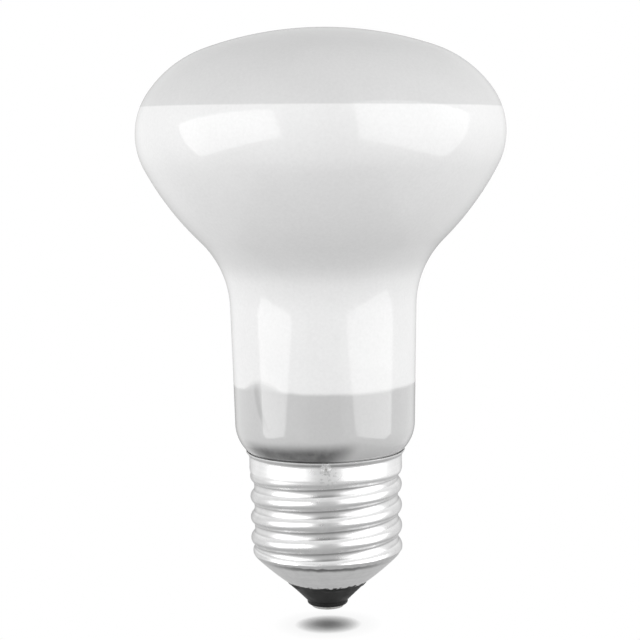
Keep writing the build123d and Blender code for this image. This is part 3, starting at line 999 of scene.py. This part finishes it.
@dataclass
class SideJoint:
    """The solder dab that ties the side lead to the rim at the front (sizes in mm)."""

    height: float = 27.1
    width: float = 2.2
    drop: float = 1.1
    bulge: float = 0.3
    thickness: float = 0.3
    top_taper: float = 0.45
    foot_round: float = 0.98
    rim_gap: float = 0.03
    edge_sink: float = 0.03
    wave: float = 0.02
    wave_length: float = 0.9
    wave_shift: float = 7.0
    cells: int = 32

    def build(self, cap: ScrewCap) -> Piece:
        """Spreads a round patch over the notch, follows the cap with it and gives it thickness.

        Args:
            cap: the cap shell that the solder lies on.

        Returns:
            The finished dab.
        """
        bpy.ops.object.select_all(action="DESELECT")
        bpy.ops.mesh.primitive_grid_add(x_subdivisions=self.cells, y_subdivisions=self.cells, size=2,
                                        location=(0, 0, 0))
        dab = bpy.context.object
        dab.name = dab.data.name = "rim_dab"
        for vertex in dab.data.vertices:
            across, along = vertex.co.x, vertex.co.y
            if along > 0:
                share, reach = 1 - self.top_taper * along**2, cap.rim - self.rim_gap - self.height
            else:
                share, reach = math.sqrt(1 - self.foot_round * along**2), self.drop
            height = self.height + along * reach
            turn = across * (self.width / 2 * share) / cap.collar_radius
            wave = ripple(Vector((across, along, self.wave_shift)) * MM, self.wave_length) * self.wave
            swell = self.bulge * ((1 - across**2) ** 2 * (1 - along**2)) + wave
            radius = cap.radius(-math.pi / 2, height) + swell - self.edge_sink * (across**2 + along**2)
            vertex.co = Vector((radius * math.sin(turn), -radius * math.cos(turn), height)) * MM
        thicken(dab, self.thickness, even=False)
        smooth(dab, angle=60)
        return dab

    def dress(self, dab: Piece, finish: Finish) -> None:
        """Gives the dab its solder and seats it in place of the rim solder node."""
        seat(dab, finish, Slot.SOLDER, "rim_solder")


@dataclass
class HiddenParts:
    """The cement and the lead wires, whose CAD solids stay as they are."""

    def dress(self, finishes: dict[str, Finish]) -> None:
        """Gives each kept solid its finish.

        Args:
            finishes: finishes by the names of the solids.
        """
        for node, finish in finishes.items():
            solid = bpy.data.objects[node]
            solid.data.materials.clear()
            solid.data.materials.append(finish.material())
            log.info("%s: kept from the CAD frame", node)


@dataclass
class Studio:
    """Camera, soft lights, cards, pale floor and white surroundings (distances in mm)."""

    eye: Place = (-0.6, -295.0, 82.05)
    pitch: float = 6.08
    roll: float = 0.9
    lens: float = 96.86
    sensor: float = 36.0
    nearest: float = 10.0
    floor_height: float = -3.1
    floor_size: float = 4000.0
    shadow_reach: float = 4.7
    shadow_depth: float = 3.6
    halo_reach: float = 7.5
    halo_depth: float = 0.22
    shadow_samples: int = 16
    fill: float = 0.46
    fill_below: float = 0.12
    fill_aside: float = 0.76
    fill_balance: float = 0.18
    fill_blend: float = 0.5
    box_distance: float = 620.0
    box_aim: float = 60.0

    def set_camera(self) -> None:
        """Places the camera at the picture's viewpoint, tilted down and rolled a little."""
        tilt, lean = math.radians(self.pitch), math.radians(self.roll)
        ahead = Vector((0, math.cos(tilt), -math.sin(tilt)))
        level, upright = Vector((1, 0, 0)), Vector((0, math.sin(tilt), math.cos(tilt)))
        up = upright * math.cos(lean) + level * math.sin(lean)
        right = level * math.cos(lean) - upright * math.sin(lean)
        bpy.ops.object.camera_add(location=Vector(self.eye) * MM)
        camera = bpy.context.object
        camera.data.lens = self.lens
        camera.data.sensor_width = self.sensor
        camera.data.clip_start = self.nearest * MM
        turn = Matrix((right, up, -ahead)).transposed()
        camera.rotation_euler = turn.to_euler()
        bpy.context.scene.camera = camera

    def add_softbox(self, name: str, azimuth: float, height: float, size: Point, roll: float,
                    level: float) -> None:
        """Hangs a soft light that faces the lamp.

        Args:
            name: the light's name.
            azimuth: its angle from the camera's side, to the right, in degrees.
            height: the height of its middle in mm.
            size: its width and height in mm.
            roll: its turn about its own axis in degrees.
            level: its brightness, where a surface that fills the sky at 1 lights white paper to white.
        """
        turn = math.radians(azimuth)
        place = Vector((math.sin(turn) * self.box_distance, -math.cos(turn) * self.box_distance, height)) * MM
        towards = Vector((0, 0, self.box_aim * MM)) - place
        bpy.ops.object.light_add(type="AREA", location=place)
        light = bpy.context.object
        light.name = name
        turned = towards.to_track_quat("-Z", "Y") @ Quaternion((0, 0, 1), math.radians(roll))
        light.rotation_euler = turned.to_euler()
        light.data.shape = "RECTANGLE"
        light.data.size, light.data.size_y = size[0] * MM, size[1] * MM
        light.data.energy = level * 4 * size[0] * size[1] * MM**2
        light.visible_camera = False

    def add_floor(self) -> None:
        """Lays a pale floor that is white in the picture, apart from the lamp's soft shadow."""
        bpy.ops.object.select_all(action="DESELECT")
        bpy.ops.mesh.primitive_plane_add(size=self.floor_size * MM, location=(0, 0, self.floor_height * MM))
        floor = bpy.context.object
        floor.name = "floor"

        # Matt white paint: an even white with the lamp's shadow on it, a dark core in a faint halo
        paint = bpy.data.materials.new("painted_floor")
        add = partial(add_node, empty_tree(paint))
        tones = []
        for reach, depth in ((self.shadow_reach, self.shadow_depth), (self.halo_reach, self.halo_depth)):
            open_share = add("AmbientOcclusion", {"Distance": reach * MM}, "AO", samples=self.shadow_samples)
            tones.append(add("Math", (open_share, depth), operation="POWER"))
        tone = add("Math", (tones[0], tones[1]), operation="MULTIPLY")
        add("OutputMaterial", {"Surface": add("Emission", {"Color": tone, "Strength": 1.0})})
        floor.visible_diffuse = floor.visible_glossy = floor.visible_shadow = False
        floor.data.materials.append(paint)

    def add_card(self, name: str, place: Vector, size: Point, stands: bool, tone: str, fade: float) -> None:
        """Puts a grey card where shiny surfaces mirror it, which darkens them there.

        Args:
            name: the card's name.
            place: its middle in mm.
            size: its width and its height or depth in mm.
            stands: whether it stands upright or lies flat.
            tone: the grey of its middle as "#rrggbb".
            fade: the distance from its middle in mm at which it would be white.
        """
        bpy.ops.object.select_all(action="DESELECT")
        bpy.ops.mesh.primitive_plane_add(size=1, location=(0, 0, 0))
        card = bpy.context.object
        card.name = name
        bpy.ops.object.mode_set(mode="EDIT")
        bpy.ops.mesh.select_all(action="SELECT")
        bpy.ops.transform.resize(value=(size[0] * MM, size[1] * MM, 1), center_override=(0, 0, 0))
        if stands:
            bpy.ops.transform.rotate(value=math.pi / 2, orient_axis="X", center_override=(0, 0, 0))
        bpy.ops.transform.translate(value=place * MM)
        bpy.ops.object.mode_set(mode="OBJECT")

        # Grey felt: matt and even, paler towards its edges so that no edge is mirrored hard
        felt = bpy.data.materials.new(name + "_felt")
        add = partial(add_node, empty_tree(felt))
        spot = add("TexCoord", output="Object")
        away = add("VectorMath", (spot, place * MM), "Value", operation="DISTANCE")
        share = add("MapRange", (away, 0.0, fade * MM))
        shade = add("Mix", {0: share, 6: linear(tone), 7: linear(WHITE)}, 2, data_type="RGBA")
        add("OutputMaterial", {"Surface": add("Emission", {"Color": shade, "Strength": 1.0})})
        card.data.materials.append(felt)
        card.visible_camera = card.visible_diffuse = card.visible_shadow = False

    def set_world(self) -> None:
        """Makes the surroundings white to the eye and in reflections, and a soft fill otherwise."""
        world = bpy.data.worlds.new("white_room")
        bpy.context.scene.world = world
        add = partial(add_node, empty_tree(world))
        rays = add("LightPath").node.outputs
        seen = rays["Is Camera Ray"]
        for kind in ("Is Glossy Ray", "Is Transmission Ray"):
            seen = add("Math", (seen, rays[kind]), operation="MAXIMUM")
        across, _, upward = add("SeparateXYZ", (add("TexCoord", output="Generated"),)).node.outputs

        # The table sends back most light at the sides, under the softboxes, and more at the left
        aside = add("Math", (across, self.fill_balance), operation="SUBTRACT")
        aside = add("Math", (across, aside), operation="MULTIPLY")
        below = add("Math", (aside, self.fill_aside, self.fill_below), operation="MULTIPLY_ADD")
        soft = add("MapRange", (upward, -self.fill_blend, self.fill_blend, below, self.fill))
        level = add("MapRange", (seen, 0.0, 1.0, soft, 1.0))
        add("OutputWorld", {"Surface": add("Background", {"Color": linear(WHITE), "Strength": level})})

    def build(self) -> None:
        """Sets up camera, lights, floor, cards and surroundings."""
        bpy.context.scene.view_settings.view_transform = "Standard"
        self.set_camera()
        self.add_softbox("left_softbox", azimuth=-58, height=130, size=(800, 490), roll=20, level=1.6)
        self.add_softbox("right_softbox", azimuth=58, height=165, size=(1050, 700), roll=-20, level=1.26)
        self.add_floor()
        self.add_card("front_card", Vector((0, -620, 150)), (500, 900), stands=True, tone="#c6c6c6", fade=900)
        self.add_card("back_card", Vector((0, 400, -40)), (640, 440), stands=True, tone="#505050", fade=320)
        self.add_card("table_card", Vector((0, 0, -20)), (140, 200), stands=False, tone="#c8c8c8", fade=400)
        self.set_world()


def main() -> None:
    """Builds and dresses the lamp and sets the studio."""
    logging.basicConfig(level=logging.INFO, format="%(name)s %(message)s")

    bulb = GlassBulb()
    bulb.dress(bulb.build(), CoatedBulbGlass("coated_soda_lime_glass"))

    cap = ScrewCap()
    cap.dress(cap.build(), RolledAluminium("rolled_aluminium_sheet"))

    # Poured black glass: deep, with a soft gloss and dusty spots
    black_glass = MottledFinish("poured_black_glass", "#0b0b0b", "#1a1a1a", metallic=0.0,
                                smooth_rough=0.35, worn_rough=0.55, mottle=1.4, specular=0.2)
    # Tin-plated brass: pale neutral grey, a little darker where the plating is thin
    plated_brass = MottledFinish("tin_plated_brass", "#c4c4c3", "#a6a5a2", metallic=1.0,
                                 smooth_rough=0.3, worn_rough=0.45, mottle=0.8)
    # Soft solder: dull silver grey that froze in uneven folds
    solder = MottledFinish("soft_solder", "#c6c6c6", "#8f8f8f", metallic=1.0,
                           smooth_rough=0.3, worn_rough=0.5, mottle=0.5)
    end = CapEnd()
    pieces = (end.build_insulator(), end.build_eyelet(), end.build_solder())
    end.dress(pieces, (black_glass, plated_brass, solder))

    # Solder under a film of flux: pale and matt, with hardly any shine
    fluxed = MottledFinish("fluxed_solder", "#d8d8d8", "#b4b4b4", metallic=0.6,
                           smooth_rough=0.5, worn_rough=0.7, mottle=0.35, specular=0.3)
    joint = SideJoint()
    joint.dress(joint.build(cap), fluxed)

    # Baked cement is chalky and tan, and the leads are dull tinned wire
    cement = MottledFinish("baked_cement", "#b9ac94", "#9a8c74", metallic=0.0,
                           smooth_rough=0.8, worn_rough=0.95, mottle=0.7)
    wire = MottledFinish("tinned_lead_wire", "#bdbcba", "#9c9a97", metallic=1.0,
                         smooth_rough=0.3, worn_rough=0.5, mottle=0.6)
    HiddenParts().dress({"capping_cement": cement, "centre_lead_wire": wire, "side_lead_wire": wire})

    Studio().build()


if __name__ == "__main__":
    main()
